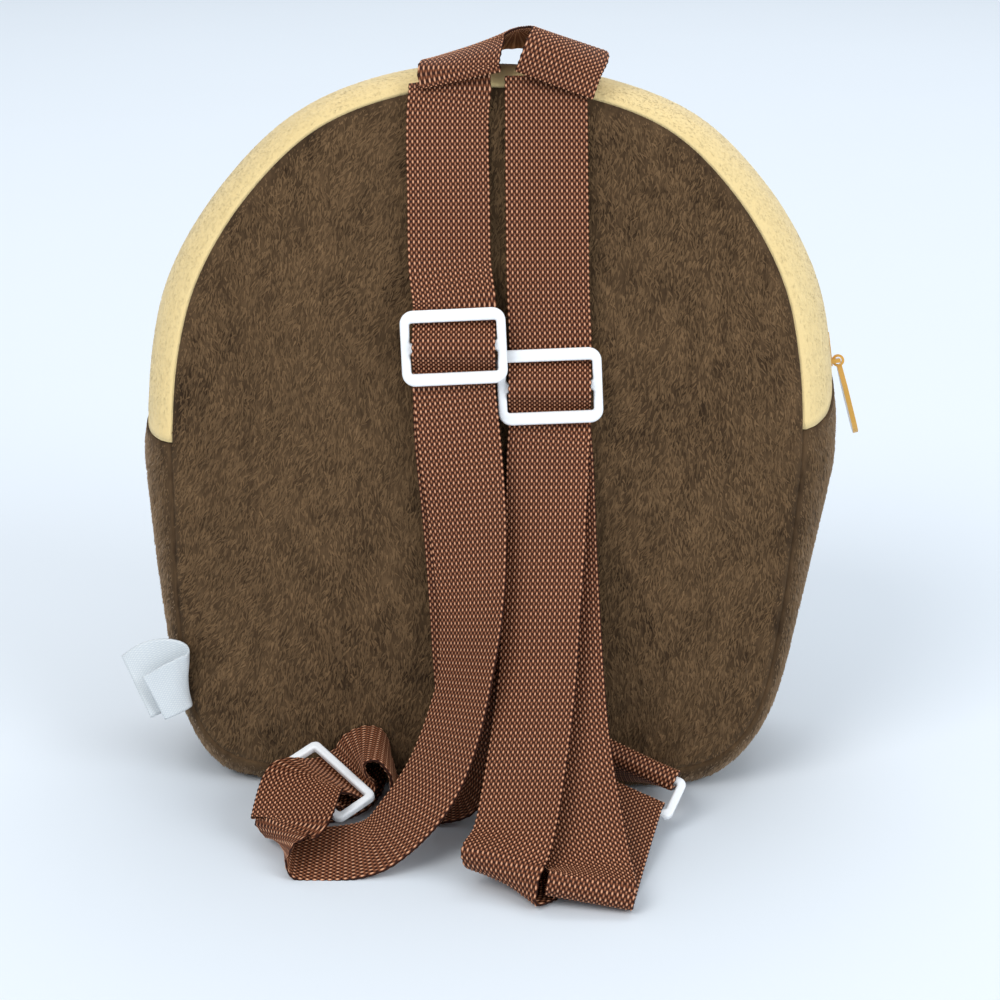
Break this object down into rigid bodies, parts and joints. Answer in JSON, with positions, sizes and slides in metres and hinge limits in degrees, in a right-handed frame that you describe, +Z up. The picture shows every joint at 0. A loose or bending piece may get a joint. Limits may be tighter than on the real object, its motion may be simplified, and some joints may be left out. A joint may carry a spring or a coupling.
{
  "type": "plush backpack",
  "caption": "Small soft plush backpack with an arched back panel, a zipped fleece top gusset, adjustable webbing shoulder straps and a webbing grab handle.",
  "frame": {"origin": "middle of the flat base that the bag stands on", "axes": "+Z up, -Y towards the wearer (the side with the shoulder straps), +X to the right seen from that side"},
  "size_m": [0.2329, 0.194, 0.2332],
  "materials": {
    "plush_brown": "dark brown short-pile plush",
    "fleece_tan": "pale tan fleece",
    "webbing_brown": "brown woven webbing",
    "plastic_white": "white moulded plastic",
    "label_satin": "white satin ribbon, blank",
    "zip_cloth": "tan woven zip tape",
    "zip_coil": "tan moulded coil",
    "zip_metal": "yellow-orange enamel"
  },
  "bodies": {
    "bag": {"back_panel": "plush_brown", "front_panel": "plush_brown", "gusset_base": "plush_brown", "gusset_top_back": "fleece_tan", "gusset_top_front": "fleece_tan", "zip_tape": "zip_cloth", "zip_coil": "zip_coil", "zip_slider": "zip_metal", "buckle_left": "plastic_white", "buckle_right": "plastic_white", "ring_left": "plastic_white", "ring_right": "plastic_white", "strap_left": "webbing_brown", "strap_right": "webbing_brown", "tab_left": "webbing_brown", "tab_right": "webbing_brown", "handle": "webbing_brown", "label": "label_satin"},
    "pull": {"zip_pull": "zip_metal"}
  },
  "joints": [
    {"name": "pull_swing", "type": "hinge", "parent": "bag", "child": "pull", "pos_m": [0.11122, 0.02656, 0.12496], "axis": [-0.0259, -0.9786, 0.2044], "range_deg": [0, 150]}
  ]
}
